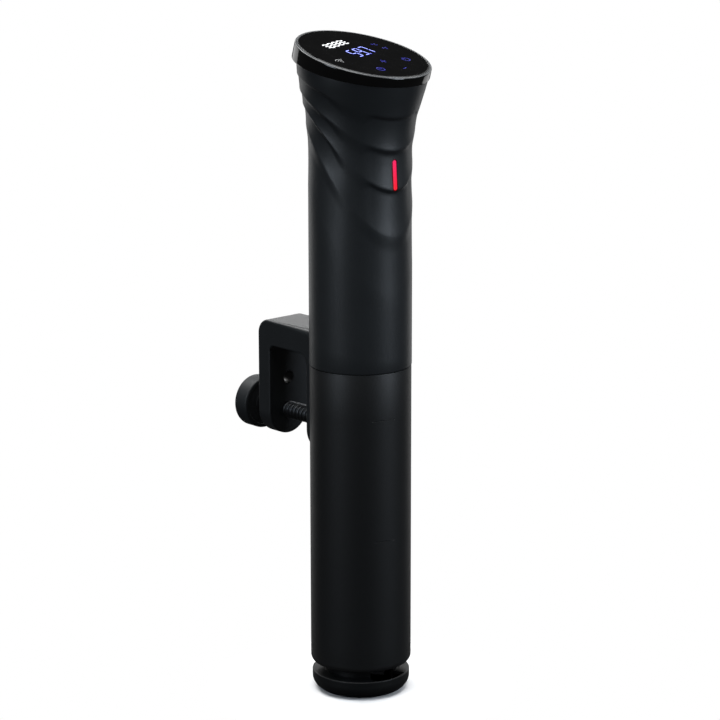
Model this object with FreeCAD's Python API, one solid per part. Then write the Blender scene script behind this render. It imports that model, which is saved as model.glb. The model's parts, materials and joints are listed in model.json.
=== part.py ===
import FreeCAD, Part
import math
import os

V = FreeCAD.Vector

# Sous vide circulator, in millimetres.
# Origin at the centre of the base's underside, +Z up, -Y towards the user, +Y towards the pot clamp.

# ---- driving dimensions ----
shell_r = 29.0             # straight part of the upper shell
shell_wall = 2.2
tube_r = 28.8              # lower tube
tube_wall = 2.0
base_r = 28.0              # base cup
neck_r = 20.0              # outlet neck above the base cup
neck_wall = 2.0

cap_top_z = 11.2           # top of the base cup
tube_bottom_z = 16.5       # underside of the lower tube
seam_z = 192.0             # joint between lower tube and upper shell
flare_start_z = 308.0      # the shell starts to widen here

head_turn = 8.5            # the display looks this far round from -Y towards +X, degrees
head_lean = 2.6            # the display's centre stands this far forward of the axis
glass_z = 367.2            # height of the glass at its centre
glass_tilt = 15.0          # slope of the glass, degrees
rim_z = 358.9              # height of the shell's rim at the display's centre
rim_tilt = 11.5            # slope of the shell's rim, degrees
bezel_r = 38.5
glass_r = 36.5
glass_t = 2.0

clamp_half_w = 14.6        # half the width of the clamp bracket
clamp_top_z = 208.5
outer_leg_low_z = 139.2
inner_leg_low_z = 135.5
jaw_y = 30.4               # fixed jaw face
outer_leg_y = 62.3         # inner face of the outer leg
clamp_back_y = 72.8
screw_z = 153.4            # axis of the clamp screw
spare_hole_z = 172.6       # axis of the second tapped hole
spare_hole_r = 3.85        # core of the screw's thread
screw_r = 5.0
knob_r = 15.2

shaft_r = 2.5
run_gap = 0.05             # radial gap of a turning fit
slide_gap = 0.3            # gap round a part that slides off
bulkhead_z = 188.0         # underside of the bulkhead's plate
bulkhead_top_z = 196.0
motor_z = 214.6            # underside of the motor can
motor_top_z = 252.0
motor_r = 14.0

pilot_r = 1.3              # thread of the self-tapping screws
head_r = 2.7               # their heads
machine_r = 1.25           # thread of the motor's machine screws
bracket_bolt_r = 1.65
display_pilot_r = 1.0

# ---- helpers ----

os.makedirs("parts", exist_ok=True)


def save(name, shape):
    shape.exportStep("parts/" + name + ".step")


def rod(r, z0, z1, x=0.0, y=0.0):
    return Part.makeCylinder(r, z1 - z0, V(x, y, z0), V(0, 0, 1))


def ring(r_out, r_in, z0, z1, x=0.0, y=0.0):
    return rod(r_out, z0, z1, x, y).cut(rod(r_in, z0 - 1, z1 + 1, x, y))


def rod_y(r, y0, y1, x=0.0, z=0.0):
    return Part.makeCylinder(r, y1 - y0, V(x, y0, z), V(0, 1, 0))


def block(x0, x1, y0, y1, z0, z1):
    return Part.makeBox(x1 - x0, y1 - y0, z1 - z0, V(x0, y0, z0))


def hexagon(across_flats, z0, z1, x=0.0, y=0.0):
    corner = across_flats / math.sqrt(3)
    points = [V(x + corner * math.cos(math.radians(60 * i)), y + corner * math.sin(math.radians(60 * i)), z0)
              for i in range(7)]
    return Part.Face(Part.makePolygon(points)).extrude(V(0, 0, z1 - z0))


def polar(radius, degrees):
    return radius * math.cos(math.radians(degrees)), radius * math.sin(math.radians(degrees))


def edges_where(shape, test):
    return [e for e in shape.Edges if test(e.BoundBox)]


def flat_edges(shape, z):
    """Edges that lie level at height z."""
    return edges_where(shape, lambda b: abs(b.ZMin - z) < 1e-3 and abs(b.ZMax - z) < 1e-3)


def group(solids):
    return Part.makeCompound(solids)


def sector(half_angle, r, z0, z1):
    """Wedge about -Y, for a window in a round wall."""
    a = math.radians(half_angle)
    tip = [V(0, 0, z0), V(-r * math.sin(a), -r * math.cos(a), z0), V(r * math.sin(a), -r * math.cos(a), z0)]
    return Part.Face(Part.makePolygon(tip + [tip[0]])).extrude(V(0, 0, z1 - z0))


# ---- the tilted frame of the display: z is 0 on the glass, and the low side is local -Y ----

toward = V(math.sin(math.radians(head_turn)), -math.cos(math.radians(head_turn)), 0)


def tilted(shape, z, tilt):
    spin = FreeCAD.Rotation(V(0, 0, 1), head_turn)
    lean = FreeCAD.Rotation(V(1, 0, 0), tilt)
    placed = shape.copy()
    placed.Placement = FreeCAD.Placement(toward * head_lean + V(0, 0, z), spin.multiply(lean))
    return placed


def on_display(shape):
    return tilted(shape, glass_z, glass_tilt)


def below_rim():
    return tilted(block(-90, 90, -90, 90, -260, 0), rim_z, rim_tilt)


def above_rim():
    return tilted(block(-90, 90, -90, 90, 0, 60), rim_z, rim_tilt)


# ---- upper shell ----

light_half_w = 1.9
light_low_z = 293.8
light_high_z = 311.6
gland_z = 300.0
gland_stem_r = 5.0
cord_r = 3.5
bracket_screw_x = 7.0
bracket_screw_z = 201.5
bracket_screw_seat_y = 25.6
boss_radius = 20.5         # circle of the bulkhead's three screws
boss_r = 3.5
boss_h = 10.0
boss_web_half = 1.5
boss_angles = (30, 150, 270)
carrier_screw_x = 22.8
carrier_boss_half = 3.2

# height and radius of the widening head
flare = [(308, 29.0), (318, 29.35), (328, 30.45), (338, 32.25),
         (348, 34.75), (354, 36.1), (360, 36.8), (370, 37.1)]


def head_loft(inset):
    """The widening head, leaning forward as it rises."""
    top_z = flare[-1][0]
    wires = []
    for z, r in flare:
        rise = (z - flare_start_z) / (top_z - flare_start_z)
        centre = toward * (head_lean * rise * rise * (3 - 2 * rise)) + V(0, 0, z)
        wires.append(Part.Wire(Part.makeCircle(r - inset, centre, V(0, 0, 1))))
    return Part.makeLoft(wires, True, False)


def light_slot(y_in, y_out):
    """Upright slot with round ends through the front wall."""
    low = light_low_z + light_half_w
    high = light_high_z - light_half_w
    slot = block(-light_half_w, light_half_w, y_out, y_in, low, high)
    for z in (low, high):
        slot = slot.fuse(rod_y(light_half_w, y_out, y_in, 0, z))
    return slot.removeSplitter()


def upper_shell():
    outer = rod(shell_r, seam_z, flare_start_z).fuse(head_loft(0))
    inner = rod(shell_r - shell_wall, seam_z - 1, flare_start_z).fuse(head_loft(shell_wall))
    shell = outer.cut(inner)
    for a in boss_angles:
        x, y = polar(boss_radius, a)
        boss = rod(boss_r, bulkhead_top_z, bulkhead_top_z + boss_h, x, y)
        web = block(0, shell_r - 1.0 - boss_radius, -boss_web_half, boss_web_half,
                    bulkhead_top_z, bulkhead_top_z + boss_h)
        web.Placement = FreeCAD.Placement(V(x, y, 0), FreeCAD.Rotation(V(0, 0, 1), a))
        shell = shell.fuse(boss.fuse(web))
        shell = shell.cut(rod(pilot_r, bulkhead_top_z - 1, bulkhead_top_z + boss_h - 2, x, y))
    for side in (-1, 1):
        carrier_boss = block(*sorted((side * 20.0, side * 27.5)), -carrier_boss_half, carrier_boss_half,
                             motor_top_z - 9, motor_top_z)
        pilot = rod(pilot_r, motor_top_z - 8, motor_top_z + 1, side * carrier_screw_x, 0)
        shell = shell.fuse(carrier_boss).cut(pilot)
        x = side * bracket_screw_x
        shell = shell.cut(rod_y(bracket_bolt_r, 20, 32, x, bracket_screw_z))
        shell = shell.cut(rod_y(3.4, 20, bracket_screw_seat_y, x, bracket_screw_z))
    shell = shell.cut(light_slot(-20, -32))
    shell = shell.cut(rod_y(gland_stem_r, 20, 32, 0, gland_z))
    return shell.common(below_rim()).removeSplitter()


save("upper_shell", upper_shell())


# ---- light strip at the front ----

light_flange_y = -25.1

pipe = light_slot(light_flange_y - 0.5, -32).common(rod(shell_r, light_low_z - 1, light_high_z + 1))
flange = block(-3.5, 3.5, light_flange_y - 1.2, light_flange_y, light_low_z - 4, light_high_z + 3.5)
save("light_pipe", pipe.fuse(flange).removeSplitter())

indicator = block(-4.5, 4.5, light_flange_y + 0.9, light_flange_y + 2.1, light_low_z - 6, light_high_z + 5.5)
for i in range(4):
    z = light_low_z + 2.0 + 4.4 * i
    indicator = indicator.fuse(block(-1.4, 1.4, light_flange_y, light_flange_y + 0.9, z, z + 2.0))
save("indicator_board", indicator)

# ---- cord inlet at the back ----

gland_tip_y = 34.0

gland = rod_y(6.5, 26.5, gland_tip_y, 0, gland_z)
gland = gland.makeFillet(1.2, edges_where(gland, lambda b: abs(b.YMin - gland_tip_y) < 1e-3))
gland = gland.cut(rod(shell_r, gland_z - 10, gland_z + 10))
gland = gland.fuse(rod_y(gland_stem_r, 22.0, 31.0, 0, gland_z)).cut(rod_y(cord_r, 20, 36, 0, gland_z))
save("cord_gland", gland.removeSplitter())
save("gland_nut", rod_y(7.2, 22.6, 25.4, 0, gland_z).cut(rod_y(gland_stem_r, 20, 27, 0, gland_z)))

# ---- sloped display: heights are measured in its tilted frame ----

seat_r = glass_r + 0.2     # recess that the glass lies in
ledge_z = -glass_t - 0.4   # ledge under the gasket
collar_r = 31.5
collar_in_r = 29.8
collar_z = -12.0
board_r = 29.2
board_z = -8.0
board_t = 1.6
lug_angles = (90, 210, 330)
lug_radius = 26.8


def bezel_ring():
    band = rod(bezel_r, -26, 0)
    band = band.makeFillet(0.9, flat_edges(band, 0.0))
    band = on_display(band.cut(rod(seat_r, ledge_z, 1)).cut(rod(33.5, -30, 1))).common(above_rim())
    collar = ring(collar_r, collar_in_r, collar_z, ledge_z - 1)
    collar = collar.fuse(ring(34.5, collar_in_r, ledge_z - 1.4, ledge_z))
    for a in lug_angles:
        x, y = polar(lug_radius, a)
        lug = rod(2.8, collar_z, board_z, x, y)
        web = block(0, 3.6, -2.8, 2.8, collar_z, board_z)
        web.Placement = FreeCAD.Placement(V(x, y, 0), FreeCAD.Rotation(V(0, 0, 1), a))
        collar = collar.fuse(lug.fuse(web)).cut(rod(display_pilot_r, collar_z - 1, board_z + 1, x, y))
    return band.fuse(on_display(collar)).removeSplitter()


save("bezel_ring", bezel_ring())

glass = rod(glass_r, -glass_t, 0)
save("touch_glass", on_display(glass.makeFillet(0.35, flat_edges(glass, 0.0))))
save("glass_gasket", on_display(ring(seat_r - 0.1, 31.0, ledge_z, -glass_t)))

board = rod(board_r, board_z, board_z + board_t)
for a in lug_angles:
    x, y = polar(lug_radius, a)
    board = board.cut(rod(display_pilot_r + 0.15, board_z - 1, board_z + 3, x, y))
save("display_board", on_display(board))

digits = block(-15, 15, -4.5, 9.5, board_z + board_t, -glass_t - 0.6)
save("digit_module", on_display(digits))

key_places = [(2.2, -11.5), (5.6, -23.4), (19.1, -17.8), (-11.1, -17.7)]
save("touch_springs", group([
    on_display(ring(2.0, 1.3, board_z + board_t, -glass_t, x, y)) for x, y in key_places]))

heads = []
for a in lug_angles:
    x, y = polar(lug_radius, a)
    stem = rod(display_pilot_r, collar_z + 0.5, board_z + board_t, x, y)
    heads.append(on_display(stem.fuse(rod(2.0, board_z + board_t, board_z + board_t + 1.4, x, y))))
save("display_screws", group(heads))

# ---- boards and power parts in the dry housing ----

carrier_z = motor_top_z
carrier_t = 2.5
board_y = 6.0
main_t = 1.6
main_half_w = 21.5
main_top_z = 334.0
rail_top_z = 338.0
deck_z = carrier_z + carrier_t
heater_x = 16.0
heater_front_y = -7.0
heater_rear_y = 10.0

carrier = ring(26.4, 8.0, carrier_z, deck_z)
carrier = carrier.fuse(ring(15.9, motor_r + 0.2, carrier_z - 8, carrier_z))
for side in (-1, 1):
    rail = block(*sorted((side * 20.4, side * 24.0)), 3.8, 9.8, deck_z, rail_top_z)
    slot = block(*sorted((side * 19.0, side * main_half_w)), board_y, board_y + main_t, deck_z, rail_top_z + 1)
    carrier = carrier.fuse(rail).cut(slot)
    carrier = carrier.cut(rod(pilot_r + 0.2, carrier_z - 1, deck_z + 1, side * carrier_screw_x, 0))
    carrier = carrier.cut(rod(1.6, carrier_z - 1, deck_z + 1, side * heater_x, heater_front_y))
save("board_carrier", carrier.removeSplitter())

save("carrier_screws", group([
    rod(pilot_r, carrier_z - 7, deck_z, side * carrier_screw_x, 0)
    .fuse(rod(head_r, deck_z, deck_z + 2.0, side * carrier_screw_x, 0))
    for side in (-1, 1)]))

save("main_board", block(-main_half_w, main_half_w, board_y, board_y + main_t, deck_z, main_top_z))

core = block(-11, 11, -9, board_y, 262, 280)
winding = block(-6.5, 6.5, -11.5, board_y - 3.0, 259.5, 282.5)
save("transformer", core.fuse(winding).removeSplitter())
save("board_capacitors", group([rod_y(4.6, -7, board_y, x, 291) for x in (-9.4, 0, 9.4)]))
save("relay", block(-17.5, -2.0, -9.0, board_y, 303, 322))
save("terminal_block", block(2.0, 18.5, -9.0, board_y, 303, 313))
save("fuse", Part.makeCylinder(2.6, 17.0, V(1.5, board_y - 2.6, 320), V(1, 0, 0)))

triac_back_y = 12.0
save("triac", block(-5, 5, board_y + main_t, triac_back_y, 270, 286))
sink = block(-15, 15, triac_back_y, triac_back_y + 2.2, 262, 290)
for i in range(6):
    x = -15 + 5.72 * i
    sink = sink.fuse(block(x, x + 1.4, triac_back_y + 2.2, triac_back_y + 7.5, 262, 290))
for side in (-1, 1):
    sink = sink.fuse(block(*sorted((side * 13.0, side * 15.0)), board_y + main_t, triac_back_y, 262, 290))
save("heatsink", sink.removeSplitter())

ribbon = block(-6, 6, board_y + main_t, board_y + main_t + 0.4, main_top_z - 8, glass_z)
save("display_ribbon", ribbon.common(on_display(block(-60, 60, -60, 60, -80, board_z))))

lead_low_z = 204.0
save("heater_leads", group([rod(1.2, lead_low_z, 303, side * heater_x, heater_front_y) for side in (-1, 1)]))

# ---- motor and drive line ----

post_places = [(12.5, 4.0), (-12.5, 4.0), (7.25, -12.6), (-7.25, -12.6)]
motor_screw_places = [(0.0, 10.5), (0.0, -10.5)]
bracket_t = 2.0
bracket_z = motor_z - bracket_t
motor_shaft_r = 1.6

can = rod(motor_r, motor_z, motor_top_z)
can = can.makeFillet(1.0, flat_edges(can, motor_top_z))
can = can.cut(rod(motor_r - 1.2, motor_z + 2, motor_top_z - 2))
can = can.cut(rod(motor_shaft_r + run_gap, motor_z - 1, motor_z + 3))
for x, y in motor_screw_places:
    can = can.cut(rod(machine_r, motor_z - 1, motor_z + 3, x, y))
save("motor_can", can)

magnets = ring(motor_r - 1.2, motor_r - 3.6, motor_z + 5, motor_top_z - 5)
save("motor_magnets", group([
    magnets.common(block(*sorted((side * 3.0, side * 20.0)), -20, 20, motor_z, motor_top_z)) for side in (-1, 1)]))

bracket = rod(16.0, bracket_z, motor_z).cut(rod(motor_shaft_r + 1.4, bracket_z - 1, motor_z + 1))
for x, y in post_places:
    bracket = bracket.fuse(rod(2.5, bulkhead_top_z, bracket_z, x, y))
for x, y in motor_screw_places:
    bracket = bracket.cut(rod(machine_r, bracket_z - 1, motor_z + 1, x, y))
save("motor_bracket", bracket.removeSplitter())

save("motor_screws", group([
    rod(machine_r, bracket_z, motor_z + 2.0, x, y).fuse(rod(2.1, bracket_z - 1.5, bracket_z, x, y))
    for x, y in motor_screw_places]))

coupling_low_z = 198.0
coupling_mid_z = 205.5
coupling_high_z = 211.5
armature = rod(motor_shaft_r, coupling_mid_z, motor_top_z - 3)
armature = armature.fuse(rod(9.6, motor_z + 7, motor_top_z - 8))
armature = armature.fuse(rod(4.0, motor_top_z - 8, motor_top_z - 5))
save("motor_armature", armature.removeSplitter())

coupling = rod(6.5, coupling_low_z, coupling_high_z)
coupling = coupling.cut(rod(shaft_r, coupling_low_z - 1, coupling_mid_z))
coupling = coupling.cut(rod(motor_shaft_r, coupling_mid_z, coupling_high_z + 1))
for z in (coupling_mid_z - 2.2, coupling_mid_z + 1.2):
    coupling = coupling.cut(ring(8.0, 4.6, z, z + 1.0))
save("shaft_coupling", coupling)

nut_low_z = 3.6
hub_low_z = 6.2
hub_high_z = 16.0
save("drive_shaft", rod(shaft_r, nut_low_z, coupling_mid_z))

bearing_z = 190.0
bearing_t = 5.0
bearing = ring(6.5, shaft_r + run_gap, bearing_z, bearing_z + bearing_t)
for z in (bearing_z, bearing_z + bearing_t - 0.4):
    bearing = bearing.cut(ring(5.4, 3.7, z, z + 0.4))
save("upper_bearing", bearing)
save("shaft_seal", ring(5.5, shaft_r + run_gap, 185.0, 189.0))
save("shaft_tube", ring(5.5, 4.2, 44.0, 185.0))
save("lower_bush", ring(4.2, shaft_r + run_gap, 44.0, 54.0))


def impeller():
    wheel = ring(4.2, shaft_r, hub_low_z, hub_high_z).fuse(ring(14.5, shaft_r, hub_high_z - 1.2, hub_high_z))
    for i in range(6):
        blade = block(3.6, 14.2, -0.6, 0.6, hub_low_z + 1.2, hub_high_z)
        blade.Placement = FreeCAD.Placement(V(0, 0, 0), FreeCAD.Rotation(V(0, 0, 1), 60 * i))
        wheel = wheel.fuse(blade)
    return wheel.removeSplitter()


save("impeller", impeller())
save("impeller_nut", hexagon(6.4, nut_low_z, hub_low_z).cut(rod(shaft_r, nut_low_z - 1, hub_low_z + 1)))

# ---- bulkhead between the dry housing and the water ----

plate_r = shell_r - shell_wall - 0.1
spigot_r = tube_r - tube_wall - slide_gap
spigot_low_z = 179.0
heater_r = 3.25
gland_r = 4.2
rod_places = [(-7.0, 20.0), (7.0, 20.0)]
probe_place = (0.0, 21.0)
probe_r = 2.0
level_rod_r = 1.25
grommet_r = 2.6


def bulkhead_plate():
    body = rod(plate_r, bulkhead_z, bulkhead_top_z)
    body = body.fuse(ring(spigot_r, 23.2, spigot_low_z, bulkhead_z)).fuse(rod(9.0, spigot_low_z, bulkhead_z))
    body = body.cut(rod(5.5, spigot_low_z - 1, 189.0)).cut(rod(shaft_r + 0.7, 188.0, 191.0))
    body = body.cut(rod(6.5, bearing_z, bulkhead_top_z + 1))
    body = body.cut(ring(plate_r + 1, plate_r - 1.6, 192.6, 194.8))
    body = body.cut(ring(spigot_r + 1, spigot_r - 1.6, 183.0, 185.2))
    for a in boss_angles:
        x, y = polar(boss_radius, a)
        body = body.cut(rod(pilot_r + 0.4, bulkhead_z - 1, bulkhead_top_z + 1, x, y))
    for side in (-1, 1):
        body = body.cut(rod(gland_r, bulkhead_z - 1, bulkhead_top_z + 1, side * heater_x, heater_front_y))
    for x, y in rod_places:
        body = body.cut(rod(grommet_r, bulkhead_z - 1, bulkhead_top_z + 1, x, y))
    return body.cut(rod(probe_r, bulkhead_z - 1, bulkhead_top_z + 1, *probe_place)).removeSplitter()


save("bulkhead_plate", bulkhead_plate())
save("bulkhead_o_ring", Part.makeTorus(plate_r - 0.72, 0.8, V(0, 0, 193.7)))
save("tube_o_ring", Part.makeTorus(spigot_r - 0.8, 0.8, V(0, 0, 184.1)))

screws = []
for a in boss_angles:
    x, y = polar(boss_radius, a)
    stem = rod(pilot_r, bulkhead_z, bulkhead_top_z + 7, x, y)
    screws.append(stem.fuse(rod(head_r, bulkhead_z - 2.4, bulkhead_z, x, y)))
save("bulkhead_screws", group(screws))

# ---- heater: one tube folded into four legs, joined by half-round bends ----

fold_low_z = 58.0
fold_high_z = 150.0


def bend(x, y, z, r, along, up):
    """Half ring in the upright plane that holds the direction along."""
    turn = Part.makeTorus(r, heater_r, V(0, 0, 0), V(0, 0, 1), -180, 180, 180)
    stand = FreeCAD.Rotation(V(1, 0, 0), 90 if up else -90)
    heading = FreeCAD.Rotation(V(0, 0, 1), along)
    turn.Placement = FreeCAD.Placement(V(x, y, z), heading.multiply(stand))
    return turn


def heater_element():
    fold_r = (heater_rear_y - heater_front_y) / 2
    mid_y = (heater_rear_y + heater_front_y) / 2
    body = bend(0, heater_rear_y, fold_high_z, heater_x, 0, True)
    for side in (-1, 1):
        body = body.fuse(rod(heater_r, fold_low_z, lead_low_z - 3, side * heater_x, heater_front_y))
        body = body.fuse(rod(1.2, lead_low_z - 3, lead_low_z, side * heater_x, heater_front_y))
        body = body.fuse(rod(heater_r, fold_low_z, fold_high_z, side * heater_x, heater_rear_y))
        body = body.fuse(bend(side * heater_x, mid_y, fold_low_z, fold_r, 90, False))
    return body.removeSplitter()


save("heater_element", heater_element())


def heater_gland(side):
    x = side * heater_x
    body = rod(gland_r, bulkhead_z, bulkhead_top_z, x, heater_front_y)
    body = body.fuse(rod(5.0, bulkhead_z - 5, bulkhead_z, x, heater_front_y))
    body = body.fuse(hexagon(9.6, bulkhead_top_z, bulkhead_top_z + 3.5, x, heater_front_y))
    return body.cut(rod(heater_r, bulkhead_z - 6, bulkhead_top_z + 5, x, heater_front_y)).removeSplitter()


save("heater_glands", group([heater_gland(side) for side in (-1, 1)]))
save("thermal_cutout", rod(5.5, bulkhead_top_z, 200.0, 0, 13).fuse(rod(3.6, 200.0, 202.5, 0, 13)))

probe = rod(probe_r, 72.0, 200.0, *probe_place)
save("temperature_probe", probe.makeFillet(1.2, flat_edges(probe, 72.0)))
save("level_rods", group([rod(level_rod_r, 96.0, 201.0, x, y) for x, y in rod_places]))
save("rod_grommets", group([
    ring(grommet_r, level_rod_r, bulkhead_z, bulkhead_top_z, x, y)
    .fuse(ring(grommet_r + 0.5, level_rod_r, bulkhead_top_z, bulkhead_top_z + 1.6, x, y))
    for x, y in rod_places]))

# ---- lower tube, outlet neck and base cup ----

tube_top_z = seam_z - slide_gap
window_half_angle = 26.0
intake_angles = (-16, 0, 16)
intake_low_z = 45.0
intake_high_z = 78.0
intake_half_w = 1.6
tube_foot_r = 3.4          # rounding of the tube's foot
tube_floor_t = 2.0


def lower_tube():
    outer = rod(tube_r, tube_bottom_z, tube_top_z)
    outer = outer.makeFillet(tube_foot_r, flat_edges(outer, tube_bottom_z))
    inner = rod(tube_r - tube_wall, tube_bottom_z + tube_floor_t, tube_top_z + 1)
    inner = inner.makeFillet(tube_foot_r - tube_wall, flat_edges(inner, tube_bottom_z + tube_floor_t))
    body = outer.cut(inner).cut(rod(neck_r, tube_bottom_z - 1, tube_bottom_z + 3))
    for a in intake_angles:
        low = intake_low_z + intake_half_w
        high = intake_high_z - intake_half_w
        slot = block(-intake_half_w, intake_half_w, 20, 32, low, high)
        for z in (low, high):
            slot = slot.fuse(rod_y(intake_half_w, 20, 32, 0, z))
        slot.Placement = FreeCAD.Placement(V(0, 0, 0), FreeCAD.Rotation(V(0, 0, 1), a))
        body = body.cut(slot)
    return body.removeSplitter()


save("lower_tube", lower_tube())

neck_in_r = neck_r - neck_wall
cap_floor_z = 2.6
neck_top_z = tube_bottom_z + tube_floor_t
neck = ring(neck_r, neck_in_r, cap_floor_z, neck_top_z)
neck = neck.fuse(ring(24.0, neck_in_r, neck_top_z, neck_top_z + 2.0))
save("outlet_neck", neck.cut(sector(window_half_angle, 40, 6.0, tube_bottom_z)).removeSplitter())


cap_foot_r = 7.6           # rounding under the base cup
cap_rim_r = 0.6
cap_wall = 2.2
cap_lid_t = 1.8


def base_cap():
    outer = rod(base_r, 0, cap_top_z)
    outer = outer.makeFillet(cap_foot_r, flat_edges(outer, 0.0))
    outer = outer.makeFillet(cap_rim_r, flat_edges(outer, cap_top_z))
    hollow = rod(base_r - cap_wall, cap_floor_z, cap_top_z - cap_lid_t)
    hollow = hollow.makeFillet(5.0, flat_edges(hollow, cap_floor_z))
    body = outer.cut(hollow).cut(rod(neck_r + slide_gap, cap_floor_z + 1.0, cap_top_z + 1))
    window = sector(window_half_angle, 40, 5.0, cap_top_z + 1).common(rod(base_r - 0.9, 0, cap_top_z + 2))
    return body.cut(window).removeSplitter()


save("base_cap", base_cap())

# ---- pot clamp ----

corner_r = 8.7
mouth_outer_r = 3.5
mouth_inner_r = 6.0
mouth_top_z = 193.7
top_edge_r = 4.0           # rounding of the bracket's top edges, which tapers round the corner
back_edge_r = 1.2
edge_r = 0.8
saddle_r = tube_r + 0.3
pad_recess_y = jaw_y - 0.6
knob_front_y = 83.8
knob_back_y = 94.2
pad_front_y = 33.8
pad_back_y = 37.8
pad_r = 7.0
tip_r = 2.4
tip_y = pad_front_y + 1.4
shoulder_y = pad_back_y + 0.3
core_r = 3.5
grip_low_z = 150.0
grip_high_z = 184.0


def tongue(y0, y1, low_z):
    """Leg outline with a round lower end, between two planes of y."""
    centre_z = low_z + clamp_half_w
    upper = block(-clamp_half_w, clamp_half_w, y0, y1, centre_z, clamp_top_z + 1)
    return upper.fuse(rod_y(clamp_half_w, y0, y1, 0, centre_z))


def rounded(shape, radius_at, chosen):
    """Fillet whose radius changes along the chosen edges; radius_at gives it at a point."""
    doc = FreeCAD.newDocument("rounding")
    base = doc.addObject("Part::Feature", "base")
    base.Shape = shape
    fillet = doc.addObject("Part::Fillet", "fillet")
    fillet.Base = base
    table = []
    for i, edge in enumerate(shape.Edges):
        if chosen(edge.BoundBox):
            start = edge.valueAt(edge.FirstParameter)
            end = edge.valueAt(edge.LastParameter)
            table.append((i + 1, radius_at(start), radius_at(end)))
    fillet.Edges = table
    doc.recompute()
    result = fillet.Shape.copy()
    FreeCAD.closeDocument(doc.Name)
    return result


def at_side(b):
    return b.XLength < 1e-3 and abs(abs(b.XMin) - clamp_half_w) < 1e-3


def clamp_bracket():
    body = block(-clamp_half_w, clamp_half_w, 20.0, clamp_back_y, inner_leg_low_z, clamp_top_z)
    body = body.makeFillet(corner_r, edges_where(
        body, lambda b: abs(b.YMin - clamp_back_y) < 1e-3 and abs(b.ZMin - clamp_top_z) < 1e-3))
    mid_y = (jaw_y + outer_leg_y) / 2
    body = body.common(tongue(0, mid_y, inner_leg_low_z).fuse(tongue(mid_y, 100, outer_leg_low_z)))
    body = body.removeSplitter()
    body = rounded(
        body,
        lambda p: top_edge_r if p.z > clamp_top_z - 1e-3 else back_edge_r,
        lambda b: (at_side(b) and (b.ZMin > clamp_top_z - 1e-3 or b.YMax > clamp_back_y - 1e-3))
        or (b.YMin > clamp_back_y - 1e-3 and b.ZMax < clamp_top_z - corner_r - 1e-3 and b.XLength > 1e-3))
    mouth = block(-20, 20, jaw_y, outer_leg_y, inner_leg_low_z - 20, mouth_top_z)
    mouth = mouth.makeFillet(mouth_outer_r, edges_where(
        mouth, lambda b: b.XLength > 30 and abs(b.ZMin - mouth_top_z) < 1e-3 and b.YMin > outer_leg_y - 1e-3))
    mouth = mouth.makeFillet(mouth_inner_r, edges_where(
        mouth, lambda b: b.XLength > 30 and abs(b.ZMin - mouth_top_z) < 1e-3 and b.YMax < jaw_y + 1e-3))
    body = body.cut(mouth).removeSplitter()
    body = body.makeFillet(edge_r, edges_where(
        body, lambda b: at_side(b) and b.YMin > jaw_y - 1e-3 and b.YMax < outer_leg_y + 1e-3))
    body = body.cut(rod(shell_r, tube_top_z, clamp_top_z + 1)).cut(rod(saddle_r, inner_leg_low_z - 1, seam_z))
    body = body.cut(block(-8, 8, pad_recess_y, jaw_y + 1, grip_low_z, grip_high_z))
    body = body.cut(rod_y(screw_r + run_gap, outer_leg_y - 1, clamp_back_y + 1, 0, screw_z))
    body = body.cut(rod_y(spare_hole_r, outer_leg_y - 1, clamp_back_y + 1, 0, spare_hole_z))
    for side in (-1, 1):
        body = body.cut(rod_y(bracket_bolt_r, 20, 40, side * bracket_screw_x, bracket_screw_z))
    return body.removeSplitter()


save("clamp_bracket", clamp_bracket())

save("bracket_screws", group([
    rod_y(bracket_bolt_r, bracket_screw_seat_y, 39, side * bracket_screw_x, bracket_screw_z)
    .fuse(rod_y(3.0, bracket_screw_seat_y - 2.2, bracket_screw_seat_y, side * bracket_screw_x, bracket_screw_z))
    for side in (-1, 1)]))

save("jaw_grip_pad", block(-8, 8, pad_recess_y, jaw_y, grip_low_z, grip_high_z))

screw = rod_y(tip_r, tip_y, shoulder_y, 0, screw_z).fuse(rod_y(screw_r, shoulder_y, knob_front_y, 0, screw_z))
screw = screw.fuse(rod_y(core_r, knob_front_y, knob_back_y - 2.2, 0, screw_z))
save("clamp_screw", screw.removeSplitter())

knob = rod_y(knob_r, knob_front_y, knob_back_y, 0, screw_z)
knob = knob.makeFillet(0.9, edges_where(knob, lambda b: b.YLength < 0.01))
save("clamp_knob", knob.cut(rod_y(core_r, knob_front_y - 1, knob_back_y - 2.2, 0, screw_z)))

pad = rod_y(pad_r, pad_front_y, pad_back_y, 0, screw_z)
pad = pad.makeFillet(0.8, edges_where(pad, lambda b: b.YLength < 0.01))
save("pressure_pad", pad.cut(rod_y(tip_r + run_gap, tip_y - 0.2, pad_back_y + 1, 0, screw_z)))
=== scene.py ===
import bmesh
import bpy
import json
import math
from mathutils import Matrix, Vector

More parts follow.
